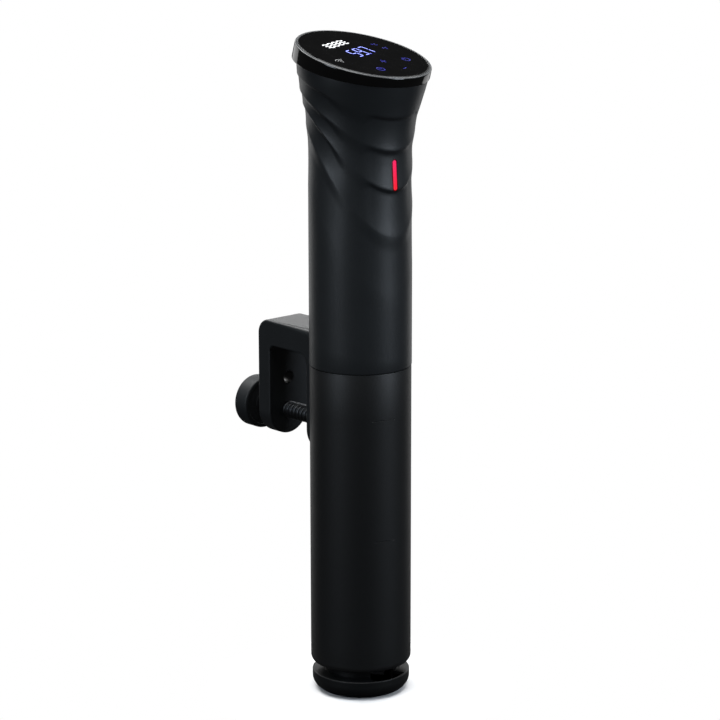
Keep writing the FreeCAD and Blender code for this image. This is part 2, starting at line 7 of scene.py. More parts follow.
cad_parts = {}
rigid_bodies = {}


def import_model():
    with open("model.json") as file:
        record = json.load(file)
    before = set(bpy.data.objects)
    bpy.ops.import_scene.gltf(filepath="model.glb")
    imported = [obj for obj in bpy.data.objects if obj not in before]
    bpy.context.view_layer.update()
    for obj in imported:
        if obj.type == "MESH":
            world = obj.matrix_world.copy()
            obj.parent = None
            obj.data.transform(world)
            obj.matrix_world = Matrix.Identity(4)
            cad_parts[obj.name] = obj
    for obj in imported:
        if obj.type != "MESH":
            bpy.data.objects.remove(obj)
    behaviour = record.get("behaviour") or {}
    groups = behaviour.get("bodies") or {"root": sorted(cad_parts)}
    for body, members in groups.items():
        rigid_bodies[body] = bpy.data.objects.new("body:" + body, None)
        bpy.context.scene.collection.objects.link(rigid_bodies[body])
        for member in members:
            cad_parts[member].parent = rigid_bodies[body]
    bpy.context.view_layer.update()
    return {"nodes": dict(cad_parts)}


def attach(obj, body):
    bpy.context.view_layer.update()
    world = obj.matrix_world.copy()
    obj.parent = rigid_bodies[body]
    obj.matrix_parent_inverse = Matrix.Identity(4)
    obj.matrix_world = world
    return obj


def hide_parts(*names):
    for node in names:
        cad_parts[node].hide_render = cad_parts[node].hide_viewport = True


# Sous vide circulator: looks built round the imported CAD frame.
# Lengths are millimetres until they reach a mesh. The stage is in metres.

MM = 0.001

for leftover in list(bpy.data.objects):
    bpy.data.objects.remove(leftover)

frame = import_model()
nodes = frame["nodes"]

# ---- driving dimensions, the same as the CAD's ----

SHELL_R = 29.0
SHELL_WALL = 2.2
SEAM_Z = 192.0
FLARE_START_Z = 308.0
FLARE = [  # height and radius of the shell's wall, above the straight part
    (308, 29.0), (318, 29.35), (328, 30.45), (338, 32.25),
    (348, 34.75), (354, 36.1), (360, 36.8), (370, 37.1),
]
HEAD_TURN = math.radians(8.5)   # the display faces this far to the side of the light strip
HEAD_LEAN = 2.6                 # shift of the head towards its low side
GLASS_Z = 367.2
GLASS_TILT = math.radians(15.0)
RIM_Z = 358.9
RIM_TILT = math.radians(11.5)
BEZEL_R = 38.5
GLASS_R = 36.5
TUBE_R = 28.8
TUBE_WALL = 2.0
TUBE_FOOT_R = 3.4
TUBE_BOTTOM_Z = 16.5
TUBE_TOP_Z = 191.7
NECK_R = 20.0
SCREW_Z = 153.4
KNOB_R = 15.2
KNOB_FRONT_Y = 83.8
KNOB_BACK_Y = 94.2
LIGHT_LOW_Z = 293.8
LIGHT_HIGH_Z = 311.6
LIGHT_HALF_W = 1.9
CORD_HOLE_Z = 300.0
CORD_HOLE_R = 5.05
FRONT_WALL_Y = (-32, -20)  # reach of a cutter through the wall at the front
REAR_WALL_Y = (20, 32)

TOWARD = Vector((math.sin(HEAD_TURN), -math.cos(HEAD_TURN), 0))


# ---- mesh helpers ----

def mesh_object(name, verts, faces, sharp=35):
    mesh = bpy.data.meshes.new(name)
    mesh.from_pydata([tuple(c * MM for c in v) for v in verts], [], faces)
    mesh.validate()
    mesh.shade_smooth()
    mesh.set_sharp_from_angle(angle=math.radians(sharp))
    obj = bpy.data.objects.new(name, mesh)
    bpy.context.scene.collection.objects.link(obj)
    return obj


def arc(cr, cz, r, start, end, steps=6):
    """Points of an arc in the outline's plane, angles in degrees."""
    angles = [math.radians(start + (end - start) * i / steps) for i in range(steps + 1)]
    return [(cr + r * math.cos(a), cz + r * math.sin(a)) for a in angles]


def grid_faces(rows, columns, closed_rows):
    """Quads between rows of a closed ring of columns; row i, column j is vertex i * columns + j."""
    faces = []
    for i in range(rows if closed_rows else rows - 1):
        a = i * columns
        b = ((i + 1) % rows) * columns
        for j in range(columns):
            k = (j + 1) % columns
            faces.append((a + j, a + k, b + k, b + j))
    return faces


def face_outwards(obj):
    bm = bmesh.new()
    bm.from_mesh(obj.data)
    bmesh.ops.recalc_face_normals(bm, faces=bm.faces)
    bm.to_mesh(obj.data)
    bm.free()


def lathe(name, outline, place, steps):
    """Outline of (radius, height) turned about an axis, from one point of the axis to another."""
    ring = outline[1:-1]
    verts = []
    for r, z in ring:
        for j in range(steps):
            verts.append(place(r, 2 * math.pi * j / steps, z))
    faces = grid_faces(len(ring), steps, False)
    first = len(verts)
    verts.append(place(0, 0, outline[0][1]))
    verts.append(place(0, 0, outline[-1][1]))
    last_row = (len(ring) - 1) * steps
    for j in range(steps):
        k = (j + 1) % steps
        faces.append((first, k, j))
        faces.append((first + 1, last_row + j, last_row + k))
    obj = mesh_object(name, verts, faces)
    face_outwards(obj)
    return obj


def prism(name, outline, place, low, high):
    """Closed flat outline carried from low to high."""
    count = len(outline)
    verts = [place(u, v, low) for u, v in outline] + [place(u, v, high) for u, v in outline]
    faces = [tuple(range(count))[::-1], tuple(range(count, 2 * count))]
    faces += [(i, (i + 1) % count, count + (i + 1) % count, count + i) for i in range(count)]
    obj = mesh_object(name, verts, faces)
    face_outwards(obj)
    return obj


def cut(obj, cutters, sharp):
    """Cuts each closed cutter from obj and deletes the cutters."""
    for cutter in cutters:
        step = obj.modifiers.new("cut", "BOOLEAN")
        step.operation = "DIFFERENCE"
        step.solver = "EXACT"
        step.object = cutter
    bake(obj)
    for cutter in cutters:
        bpy.data.objects.remove(cutter)
    obj.data.shade_smooth()
    obj.data.set_sharp_from_angle(angle=math.radians(sharp))


def bake(obj):
    """Applies the object's modifiers to its mesh."""
    bpy.context.view_layer.update()
    graph = bpy.context.evaluated_depsgraph_get()
    mesh = bpy.data.meshes.new_from_object(obj.evaluated_get(graph))
    obj.modifiers.clear()
    obj.data = mesh


def stadium(half_w, low, high, steps=12):
    """Upright slot outline with round ends."""
    top = arc(0, high - half_w, half_w, 0, 180, steps)
    bottom = arc(0, low + half_w, half_w, 180, 360, steps)
    return top + bottom


def smoothstep(low, high, x):
    t = min(max((x - low) / (high - low), 0.0), 1.0)
    return t * t * (3 - 2 * t)


def tilted(z, tilt):
    """Frame of the sloped display or of the shell's rim: local -Y is the low side."""
    origin = TOWARD * HEAD_LEAN + Vector((0, 0, z))
    return Matrix.Translation(origin) @ Matrix.Rotation(HEAD_TURN, 4, "Z") @ Matrix.Rotation(tilt, 4, "X")


DISPLAY = tilted(GLASS_Z, GLASS_TILT)
RIM = tilted(RIM_Z, RIM_TILT)
RIM_NORMAL = (RIM.to_3x3() @ Vector((0, 0, 1))).normalized()
RIM_POINT = RIM.translation.copy()


# ---- upper shell: a flared tube with four overlapping folds ----

# each fold's lower edge: height at the front, rise towards the rear, angle where it ends,
# depth of its step, height of its step
FOLDS = [
    (268.8, 61.2, 145.0, 0.5, 9.0),
    (294.8, 46.0, 140.0, 1.1, 2.6),
    (316.7, 32.6, 147.0, 1.0, 3.0),
    (335.0, 22.0, 138.0, 1.0, 2.0),
]
FOLD_EDGE = 2.6            # usual height of the step, for spacing the rows
SOFT_EDGE = 9.0            # height of the step where the folds soften, between the front and the side
SOFT_LOSS = 0.45           # share of the depth lost there
FOLD_FADE = (112.0, 158.0)  # the folds die out between these angles from the front
FOLD_SWELL = 2.5           # how late the wall comes out again towards the next edge down
FIRST_RISE = 34.0          # length of the slow swell below the lowest fold
SHELL_COLUMNS = 288
SHELL_SHARP = 30           # edges of more degrees than this stay crisp
EDGE_ROWS = 6              # rows of the mesh across each fold's step
WALL_ROWS = 14             # and between two folds
FIRST_ROWS = 18            # and on the slow swell
PLAIN_ROWS = 6             # and below the folds


def flare_radius(z):
    """Radius of the straight wall and, above it, of a smooth curve through FLARE."""
    if z <= FLARE_START_Z:
        return SHELL_R
    for i in range(len(FLARE) - 1):
        z0, r0 = FLARE[i]
        z1, r1 = FLARE[i + 1]
        if z <= z1 or i == len(FLARE) - 2:
            before = FLARE[i - 1] if i else (z0 - (z1 - z0), r0)
            after = FLARE[i + 2] if i + 2 < len(FLARE) else (z1 + (z1 - z0), r1)
            slope0 = (r1 - before[1]) / (z1 - before[0])
            slope1 = (after[1] - r0) / (after[0] - z0)
            h = z1 - z0
            t = (z - z0) / h
            return (r0 * (2 * t ** 3 - 3 * t ** 2 + 1) + slope0 * h * (t ** 3 - 2 * t ** 2 + t)
                    + r1 * (3 * t ** 2 - 2 * t ** 3) + slope1 * h * (t ** 3 - t ** 2))


def lean_at(z):
    """Sideways shift of the wall's centre, which grows up the flare."""
    rise = min(max((z - FLARE_START_Z) / (FLARE[-1][0] - FLARE_START_Z), 0.0), 1.0)
    return TOWARD * (HEAD_LEAN * rise * rise * (3 - 2 * rise))


def fold_height(fold, front_angle):
    """Height of a fold's lower edge at an angle from the front."""
    z0, rise, end, _, _ = fold
    t = min(abs(front_angle) / end, 1.0)
    return z0 + rise * (1 - math.cos(math.pi * t)) / 2


def softness(front_angle):
    """How far the folds soften at an angle, from 0 to 1."""
    a = abs(front_angle)
    return smoothstep(28, 44, a) * (1 - smoothstep(56, 80, a))


def fold_depth(front_angle, z):
    """How far the surface lies inside the plain flare."""
    soft = softness(front_angle)
    fade = (1 - smoothstep(*FOLD_FADE, abs(front_angle))) * (1 - SOFT_LOSS * soft)
    heights = [fold_height(f, front_angle) for f in FOLDS]
    for i, edge_z in enumerate(heights):
        step, edge = FOLDS[i][3:]
        low_z = heights[i - 1] if i else edge_z - FIRST_RISE
        if z < edge_z:
            # below this edge the wall is set back, and comes out again towards the next edge down
            span = edge_z - low_z
            t = min(max((edge_z - z) / span, 0.0), 1.0)
            edge += max(SOFT_EDGE - edge, 0.0) * soft
            back = smoothstep(0.0, min(edge / span, 0.5), t)
            return fade * step * back * (1 - t ** FOLD_SWELL)
    return 0.0


def shell_point(front_angle, z, inset=0.0):
    """Point of the shell's wall at an angle from -Y, in degrees, positive towards +X."""
    a = math.radians(front_angle)
    depth = fold_depth(front_angle, z) if inset == 0 else inset
    r = flare_radius(z) - depth
    return Vector((r * math.sin(a), -r * math.cos(a), z)) + lean_at(z)


def rim_height(front_angle, inset=0.0):
    """Height where the leaning wall meets the sloped plane of the rim, found in a few steps."""
    z = RIM_Z
    for _ in range(8):
        p = shell_point(front_angle, z, inset)
        z += -(p - RIM_POINT).dot(RIM_NORMAL) / RIM_NORMAL.z
    return z


def spread(low, high, count):
    return [low + (high - low) * i / count for i in range(count)]


def shell_rows(front_angle, inset):
    """Heights of the wall's rows from the seam to the rim. Rows follow the folds' edges."""
    heights = [fold_height(f, front_angle) for f in FOLDS]
    rim = rim_height(front_angle, inset)
    swell_z = heights[0] - FIRST_RISE
    rows = spread(SEAM_Z + 0.5, swell_z, PLAIN_ROWS)
    rows += spread(swell_z, heights[0] - FOLD_EDGE, FIRST_ROWS)
    for i, edge_z in enumerate(heights):
        rows += spread(edge_z - FOLD_EDGE, edge_z, EDGE_ROWS)
        top = heights[i + 1] - FOLD_EDGE if i + 1 < len(heights) else rim
        rows += spread(edge_z, top, WALL_ROWS)
    return rows + [rim]


def through_wall(u, v, y):
    """Places an upright outline across the wall, for cutters along Y."""
    return u, y, v


def build_shell():
    columns = [360.0 * j / SHELL_COLUMNS - 180 for j in range(SHELL_COLUMNS)]
    chamfer = 0.35
    outer = [[shell_point(a, SEAM_Z, chamfer), shell_point(a, SEAM_Z + 0.12, 0.1)]
             + [shell_point(a, z) for z in shell_rows(a, 0.0)] for a in columns]
    inner_steps = 16
    inner_low_z = FLARE_START_Z - 40
    inner = []
    for a in columns:
        rim = rim_height(a, SHELL_WALL)
        heights = [SEAM_Z] + spread(inner_low_z, rim, inner_steps) + [rim]
        inner.append([shell_point(a, z, SHELL_WALL) for z in heights][::-1])
    rings = [o + n for o, n in zip(outer, inner)]
    rows = len(rings[0])
    verts = [rings[j][i] for i in range(rows) for j in range(SHELL_COLUMNS)]
    shell = mesh_object("upper_shell_skin", verts, grid_faces(rows, SHELL_COLUMNS, True), SHELL_SHARP)
    face_outwards(shell)
    gap = 0.06
    slot_outline = stadium(LIGHT_HALF_W + gap, LIGHT_LOW_Z - gap, LIGHT_HIGH_Z + gap)
    slot = prism("slot", slot_outline, through_wall, *FRONT_WALL_Y)
    cord_outline = arc(0, CORD_HOLE_Z, CORD_HOLE_R, 0, 360, 48)[:-1]
    cord_hole = prism("cord_hole", cord_outline, through_wall, *REAR_WALL_Y)
    cut(shell, [slot, cord_hole], SHELL_SHARP)
    return shell


shell = build_shell()
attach(shell, "root")
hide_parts("upper_shell")


# ---- light strip: domed bar that follows the fold it sits in ----

# rings from the strip's back to its crown: share of the outline kept, and depth below the shell's wall
LIGHT_RINGS = [(1.0, 3.2), (1.0, 0.55), (0.94, 0.28), (0.8, 0.14), (0.5, 0.1)]
LIGHT_SHARP = 60


def build_light():
    outline = stadium(LIGHT_HALF_W, LIGHT_LOW_Z, LIGHT_HIGH_Z, 16)
    verts = []
    for shrink, sunk in LIGHT_RINGS:
        for u, v in outline:
            core = min(max(v, LIGHT_LOW_Z + LIGHT_HALF_W), LIGHT_HIGH_Z - LIGHT_HALF_W)
            z = core + (v - core) * shrink
            wall = shell_point(0, min(max(z, LIGHT_LOW_Z), LIGHT_HIGH_Z))
            verts.append((u * shrink, wall.y + sunk, z))
    count = len(outline)
    faces = grid_faces(len(LIGHT_RINGS), count, False)
    faces.append(tuple(range(count)))
    last = (len(LIGHT_RINGS) - 1) * count
    for i in range(count // 2 - 1):
        faces.append((last + i, last + i + 1, last + count - 2 - i, last + count - 1 - i))
    obj = mesh_object("light_strip", verts, faces, LIGHT_SHARP)
    face_outwards(obj)
    return obj


light_strip = build_light()
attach(light_strip, "root")
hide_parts("light_pipe")


# ---- bezel: gloss ring with a fine double edge round the glass ----

SEAT_R = GLASS_R + 0.2
LEDGE_Z = -2.4         # in the display's frame, as all heights of the ring
COLLAR_R = 29.8        # inside and outside of the collar that goes down into the shell
COLLAR_OUTER_R = 31.5
COLLAR_Z = -12.0
BAND_INNER_R = 33.5
BEZEL_COLUMNS = 240


def display_point(r, angle, z):
    return DISPLAY @ Vector((r * math.cos(angle), r * math.sin(angle), z))


def band_bottom(r, angle):
    """Height in the display's frame of the shell's rim plane under a point of the ring."""
    level = display_point(r, angle, 0)
    up = DISPLAY.to_3x3() @ Vector((0, 0, 1))
    return -(level - RIM_POINT).dot(RIM_NORMAL) / up.dot(RIM_NORMAL)


def build_bezel():
    outer = BEZEL_R - 0.05
    edge_r = 0.9
    bead_r = 0.28
    under_z = LEDGE_Z - 1.4
    top = [(outer, -1.6)] + arc(outer - edge_r, -1.05, edge_r, 0, 78, 8)
    top += [(37.55, -0.3), (37.4, -0.42), (37.26, -0.42)]                    # fine groove
    top += arc(36.98, -0.32, bead_r, 10, 170, 8)                             # bead beside the glass
    top += [(SEAT_R, -0.4), (SEAT_R, LEDGE_Z), (COLLAR_R, LEDGE_Z)]          # seat of the glass
    top += [(COLLAR_R, COLLAR_Z), (COLLAR_OUTER_R, COLLAR_Z)]
    top += [(COLLAR_OUTER_R, under_z), (BAND_INNER_R, under_z)]
    # the rest stands on the shell's rim, so its heights are above the rim's plane
    bottom = [(BAND_INNER_R, 0.0), (37.7, 0.0), (38.12, 0.12), (38.37, 0.4), (outer, 0.8)]
    verts = []
    for r, z in top:
        verts += [display_point(r, 2 * math.pi * j / BEZEL_COLUMNS, z) for j in range(BEZEL_COLUMNS)]
    for r, lift in bottom:
        for j in range(BEZEL_COLUMNS):
            angle = 2 * math.pi * j / BEZEL_COLUMNS
            verts.append(display_point(r, angle, band_bottom(r, angle) + lift))
    faces = grid_faces(len(top) + len(bottom), BEZEL_COLUMNS, True)
    obj = mesh_object("bezel_band", verts, faces, 40)
    face_outwards(obj)
    return obj


bezel = build_bezel()
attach(bezel, "root")
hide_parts("bezel_ring")


# ---- signs: thin plates lying on the glass; the readout and keys are lit, the printed signs have a painted glow ----

ART_TURN = math.radians(9.5)   # the signs are turned further than the display
ART = DISPLAY @ Matrix.Rotation(ART_TURN, 4, "Z")
ART_LIFT = 0.02
ART_THICK = 0.05


def plate(strokes, name, level=0.0):
    """Thin closed plates, one for each flat outline of the artwork."""
    verts = []
    faces = []
    for outline in strokes:
        base = len(verts)
        count = len(outline)
        for lift in (ART_LIFT + level, ART_LIFT + level + ART_THICK):
            verts += [ART @ Vector((u, v, lift)) for u, v in outline]
        faces.append(tuple(range(base, base + count))[::-1])
        faces.append(tuple(range(base + count, base + 2 * count)))
        faces += [(base + i, base + (i + 1) % count, base + count + (i + 1) % count, base + count + i)
                  for i in range(count)]
    obj = mesh_object(name, verts, faces)
    face_outwards(obj)
    return obj


def bar(x0, y0, x1, y1, w):
    """Straight stroke with pointed ends."""
    along = Vector((x1 - x0, y1 - y0))
    length = along.length
    along /= length
    side = Vector((-along.y, along.x)) * (w / 2)
    a = Vector((x0, y0))
    b = Vector((x1, y1))
    inner = along * (w / 2)
    corners = (a, a + inner - side, b - inner - side, b, b - inner + side, a + inner + side)
    return [tuple(p) for p in corners]


def swept(points, w):
    """Stroke of even width along a bent line."""
    left = []
    right = []
    for i, p in enumerate(points):
        before = Vector(points[max(i - 1, 0)])
        after = Vector(points[min(i + 1, len(points) - 1)])
        along = (after - before).normalized()
        side = Vector((-along.y, along.x)) * (w / 2)
        left.append(tuple(Vector(p) + side))
        right.append(tuple(Vector(p) - side))
    return right + left[::-1]


DIGIT_W = 3.9
DIGIT_H = 9.4
DIGIT_PITCH = 6.6
SEGMENT_GAP = 0.25         # half the gap between two strokes that meet
READOUT_X = 0.6            # middle of the digits
READOUT_Y = 2.4
SEGMENTS = {"a": ((0, 2), (1, 2)), "b": ((1, 2), (1, 1)), "c": ((1, 1), (1, 0)), "d": ((0, 0), (1, 0)),
            "e": ((0, 0), (0, 1)), "f": ((0, 1), (0, 2)), "g": ((0, 1), (1, 1))}
LIT = {"5": "afgcd", "9": "abcdfg", "7": "abc"}


def digit(sign, x, y, w, grow):
    """Lit segments of one digit; grow lengthens each towards its neighbours."""
    strokes = []
    for name in LIT[sign]:
        (u0, v0), (u1, v1) = SEGMENTS[name]
        p0 = (x + (u0 - 0.5) * DIGIT_W, y + (v0 - 1) * DIGIT_H / 2)
        p1 = (x + (u1 - 0.5) * DIGIT_W, y + (v1 - 1) * DIGIT_H / 2)
        along = (Vector(p1) - Vector(p0)).normalized() * (SEGMENT_GAP - grow)
        strokes.append(bar(p0[0] + along.x, p0[1] + along.y, p1[0] - along.x, p1[1] - along.y, w))
    return strokes


def readout(w, grow):
    strokes = []
    for sign, place in zip("597", (-1, 0, 1)):
        strokes += digit(sign, READOUT_X + place * DIGIT_PITCH, READOUT_Y, w, grow)
    dot_x = READOUT_X + DIGIT_PITCH / 2
    dot_y = READOUT_Y - DIGIT_H / 2
    half = w * 0.6
    strokes.append([(dot_x - half, dot_y - half), (dot_x + half, dot_y - half),
                    (dot_x + half, dot_y + half), (dot_x - half, dot_y + half)])
    return strokes


GLOW_W = 1.05              # wide dim strokes, with the bright narrow ones on top
GLOW_GROW = 0.2
BRIGHT_W = 0.4
BRIGHT_LEVEL = 0.06

glow = plate(readout(GLOW_W, GLOW_GROW), "digit_glow")
digits = plate(readout(BRIGHT_W, 0.0), "digit_strokes", BRIGHT_LEVEL)

STROKE = 0.55
THIN_STROKE = 0.4
KEY_RING_R = 2.3


def ring_sign(x, y, r, start, end, w=STROKE):
    return swept([(x + u, y + v) for u, v in arc(0, 0, r, start, end, 14)], w)


def minus_sign(x, y):
    return [bar(x - 1.8, y, x + 1.8, y, STROKE)]


def plus_sign(x, y):
    half = 2.1
    return [bar(x - half, y, x + half, y, STROKE), bar(x, y - half, x, y + half, STROKE)]


def power_sign(x, y):
    return [ring_sign(x, y, KEY_RING_R, 120, 420), bar(x, y + 0.2, x, y + 3.0, STROKE)]


def clock_sign(x, y):
    hands = [bar(x, y, x, y + 1.7, STROKE), bar(x, y, x + 1.3, y, STROKE)]
    return [ring_sign(x, y, KEY_RING_R, 0, 355)] + hands


def degree_sign(x, y):
    return ring_sign(x - 1.7, y + 1.1, 0.5, 0, 350, 0.35)


def celsius_sign(x, y):
    return [degree_sign(x, y), ring_sign(x + 0.4, y, 1.1, 50, 310, THIN_STROKE)]


def fahrenheit_sign(x, y):
    stem_x = x - 0.1
    stem = bar(stem_x, y - 1.1, stem_x, y + 1.2, THIN_STROKE)
    top = bar(stem_x, y + 1.1, x + 1.3, y + 1.1, THIN_STROKE)
    middle = bar(stem_x, y + 0.1, x + 1.0, y + 0.1, THIN_STROKE)
    return [degree_sign(x, y), stem, top, middle]


key_strokes = plus_sign(-1.2, -13.4) + minus_sign(0.8, -26.2)
key_strokes += power_sign(15.9, -18.2) + clock_sign(-15.1, -20.0)
key_strokes += celsius_sign(21.5, 5.4) + fahrenheit_sign(22.3, -1.6)
key_signs = plate(key_strokes, "key_signs")


WAVE_X = -12.4             # left end of the three printed waves
WAVE_Y = 17.0              # height of the middle one
WAVE_PITCH = 2.2
WAVE_LENGTH = 20.0
WAVE_SWING = 0.5
WAVE_TURNS = 4
WAVE_W = 0.95
LABEL_X = -26.4
LABEL_Y = -2.6


def wave(y):
    count = 8 * WAVE_TURNS
    points = []
    for i in range(count + 1):
        swing = WAVE_SWING * math.sin(2 * math.pi * WAVE_TURNS * i / count)
        points.append((WAVE_X + WAVE_LENGTH * i / count, y + swing))
    return swept(points, WAVE_W)


printed_strokes = [wave(WAVE_Y + WAVE_PITCH * row) for row in (-1, 0, 1)]
label_strokes = [ring_sign(LABEL_X, LABEL_Y, r, 45, 135, 0.42) for r in (1.4, 2.8, 4.2)]
label_strokes += [[(LABEL_X + u, LABEL_Y + v) for u, v in arc(0, 0, 0.4, 0, 330, 11)]]
printed_signs = plate(printed_strokes, "printed_signs")
label_sign = plate(label_strokes, "label_sign")

for piece in (glow, digits, key_signs, printed_signs, label_sign):
    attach(piece, "root")


# ---- lower tube: rounded foot, two engraved level lines, three water inlets at the rear ----

LEVEL_LINES = [(165.0, -28.7, -1.0), (94.7, -25.7, -2.0)]   # height, and the angles from the front they span
LINE_HALF = 0.28           # half the height of a line's flat bottom
LINE_SLOPE = 0.14          # height of its sloped side
LINE_DEPTH = 0.28
INTAKE_ANGLES = (-16, 0, 16)
INTAKE_HALF_W = 1.6
INTAKE_LOW_Z = 45.0
INTAKE_HIGH_Z = 78.0
TUBE_ROWS = (32, 60, 130)  # heights of the plain rows between the foot, the lines and the top
TUBE_COLUMNS = 288
TUBE_SHARP = 30


def line_depth(front_angle, z):
    for line_z, low, high in LEVEL_LINES:
        if low <= front_angle <= high and abs(z - line_z) <= LINE_HALF + 1e-6:
            return LINE_DEPTH
    return 0.0


def build_tube():
    low, middle, high = TUBE_ROWS
    inner_r = TUBE_R - TUBE_WALL
    inner_foot_r = TUBE_FOOT_R - TUBE_WALL
    foot_z = TUBE_BOTTOM_Z + TUBE_FOOT_R
    wall = []
    for line_z, _, _ in sorted(LEVEL_LINES):
        for offset in (-LINE_HALF - LINE_SLOPE, -LINE_HALF, LINE_HALF, LINE_HALF + LINE_SLOPE):
            wall.append((TUBE_R, line_z + offset))
    outline = [(NECK_R, TUBE_BOTTOM_Z)] + arc(TUBE_R - TUBE_FOOT_R, foot_z, TUBE_FOOT_R, -90, 0, 10)
    outline += [(TUBE_R, low), (TUBE_R, middle)] + wall[:4] + [(TUBE_R, high)] + wall[4:]
    outline += [(TUBE_R, TUBE_TOP_Z - 0.3), (TUBE_R - 0.08, TUBE_TOP_Z - 0.08), (TUBE_R - 0.3, TUBE_TOP_Z)]
    outline += [(inner_r, TUBE_TOP_Z), (inner_r, high), (inner_r, middle)]
    outline += arc(inner_r - inner_foot_r, foot_z, inner_foot_r, 0, -90, 5)
    outline += [(NECK_R, TUBE_BOTTOM_Z + TUBE_WALL)]
    verts = []
    for r, z in outline:
        for j in range(TUBE_COLUMNS):
            front = 360.0 * j / TUBE_COLUMNS - 180
            a = math.radians(front)
            depth = line_depth(front, z) if r == TUBE_R else 0.0
            verts.append(((r - depth) * math.sin(a), -(r - depth) * math.cos(a), z))
    tube = mesh_object("lower_tube_skin", verts, grid_faces(len(outline), TUBE_COLUMNS, True), TUBE_SHARP)
    face_outwards(tube)
    cutters = []
    for angle in INTAKE_ANGLES:
        turn = Matrix.Rotation(math.radians(angle), 3, "Z")
        cutters.append(prism("inlet", stadium(INTAKE_HALF_W, INTAKE_LOW_Z, INTAKE_HIGH_Z),
                             lambda u, v, y: turn @ Vector(through_wall(u, v, y)), *REAR_WALL_Y))
    cut(tube, cutters, TUBE_SHARP)
    return tube


tube = build_tube()
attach(tube, "skirt")
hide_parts("lower_tube")


# ---- clamp screw: rolled thread with a 3 mm pitch ----

PITCH = 3.0
THREAD_CREST = 4.98
THREAD_ROOT = 3.9
TIP_Y = 35.2
SHOULDER_Y = 38.1
SPIGOT_R = 3.5             # plain end of the screw in the knob
SPIGOT_END_Y = KNOB_BACK_Y - 2.2
SCREW_COLUMNS = 56
ROWS_PER_TURN = 12


def about_screw(r, angle, y):
    return r * math.cos(angle), y, SCREW_Z + r * math.sin(angle)


def thread_radius(y, angle):
    phase = ((y - SHOULDER_Y) / PITCH - angle / (2 * math.pi)) % 1.0
    swell = smoothstep(0.0, 0.36, phase) * (1 - smoothstep(0.62, 0.98, phase))
    runout = smoothstep(SHOULDER_Y, SHOULDER_Y + 1.6, y)
    runout *= 1 - smoothstep(KNOB_FRONT_Y - 1.6, KNOB_FRONT_Y - 0.2, y)
    return THREAD_ROOT + (THREAD_CREST - THREAD_ROOT) * swell * runout


def build_screw():
    plain_tip = [(2.1, TIP_Y), (2.4, TIP_Y + 0.3), (2.4, SHOULDER_Y)]
    plain_end = [(SPIGOT_R, KNOB_FRONT_Y + 0.01), (SPIGOT_R, SPIGOT_END_Y)]
    count = int((KNOB_FRONT_Y - SHOULDER_Y) / PITCH * ROWS_PER_TURN)
    rows = []
    angles = [2 * math.pi * j / SCREW_COLUMNS for j in range(SCREW_COLUMNS)]
    for r, y in plain_tip:
        rows.append([about_screw(r, a, y) for a in angles])
    for i in range(count + 1):
        y = SHOULDER_Y + (KNOB_FRONT_Y - SHOULDER_Y) * i / count
        rows.append([about_screw(thread_radius(y, a), a, y) for a in angles])
    for r, y in plain_end:
        rows.append([about_screw(r, a, y) for a in angles])
    verts = [v for row in rows for v in row]
    faces = grid_faces(len(rows), SCREW_COLUMNS, False)
    faces.append(tuple(range(SCREW_COLUMNS)))
    faces.append(tuple(range(len(verts) - SCREW_COLUMNS, len(verts))))
    obj = mesh_object("clamp_thread", verts, faces, 50)
    face_outwards(obj)
    return obj


screw = build_screw()
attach(screw, "screw")
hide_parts("clamp_screw")

knob_edge = 1.1
recess = 0.25
knob_outline = [(0, SPIGOT_END_Y), (SPIGOT_R, SPIGOT_END_Y), (SPIGOT_R, KNOB_FRONT_Y), (6.6, KNOB_FRONT_Y),
                (6.9, KNOB_FRONT_Y + recess), (12.6, KNOB_FRONT_Y + recess), (12.9, KNOB_FRONT_Y)]
knob_outline += arc(KNOB_R - knob_edge, KNOB_FRONT_Y + knob_edge, knob_edge, -90, 0, 6)
knob_outline += arc(KNOB_R - knob_edge, KNOB_BACK_Y - knob_edge, knob_edge, 0, 90, 6)
knob_outline += [(12.4, KNOB_BACK_Y), (12.0, KNOB_BACK_Y - 0.5), (0, KNOB_BACK_Y - 0.6)]
knob = lathe("clamp_knob_disc", knob_outline, about_screw, 128)
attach(knob, "screw")
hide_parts("clamp_knob")


# ---- materials ----

def new_material(name):
    mat = bpy.data.materials.new(name)
    mat.use_nodes = True
    tree = mat.node_tree
    shader = tree.nodes["Principled BSDF"]
    return mat, tree, shader


def node(tree, kind, **settings):
    made = tree.nodes.new(kind)
    for key, value in settings.items():
        setattr(made, key, value)
    return made


def feed(tree, source, target):
    tree.links.new(source, target)


def coordinates(tree, stretch):
    place = node(tree, "ShaderNodeTexCoord")
    scale = node(tree, "ShaderNodeMapping")
    scale.inputs["Scale"].default_value = stretch
    feed(tree, place.outputs["Object"], scale.inputs["Vector"])
    return scale.outputs["Vector"]


def noise(tree, vector, size_mm, detail=2.0, rough=0.5):
    made = node(tree, "ShaderNodeTexNoise")
    made.inputs["Scale"].default_value = 1.0 / (size_mm * MM)
    made.inputs["Detail"].default_value = detail
    made.inputs["Roughness"].default_value = rough
    feed(tree, vector, made.inputs["Vector"])
    return made.outputs["Fac"]


def to_range(tree, value, low, high, source=(0.3, 0.7)):
    made = node(tree, "ShaderNodeMapRange")
    made.inputs["From Min"].default_value = source[0]
    made.inputs["From Max"].default_value = source[1]
    made.inputs["To Min"].default_value = low
    made.inputs["To Max"].default_value = high
    feed(tree, value, made.inputs["Value"])
    return made.outputs["Result"]


def mixed(tree, factor, first, second):
    made = node(tree, "ShaderNodeMix", data_type="RGBA")
    made.inputs[6].default_value = (*first, 1)
    made.inputs[7].default_value = (*second, 1)
    feed(tree, factor, made.inputs[0])
    return made.outputs[2]


def bump(tree, shader, height, depth_mm):
    made = node(tree, "ShaderNodeBump")
    made.inputs["Distance"].default_value = depth_mm * MM
    feed(tree, height, made.inputs["Height"])
    feed(tree, made.outputs["Normal"], shader.inputs["Normal"])


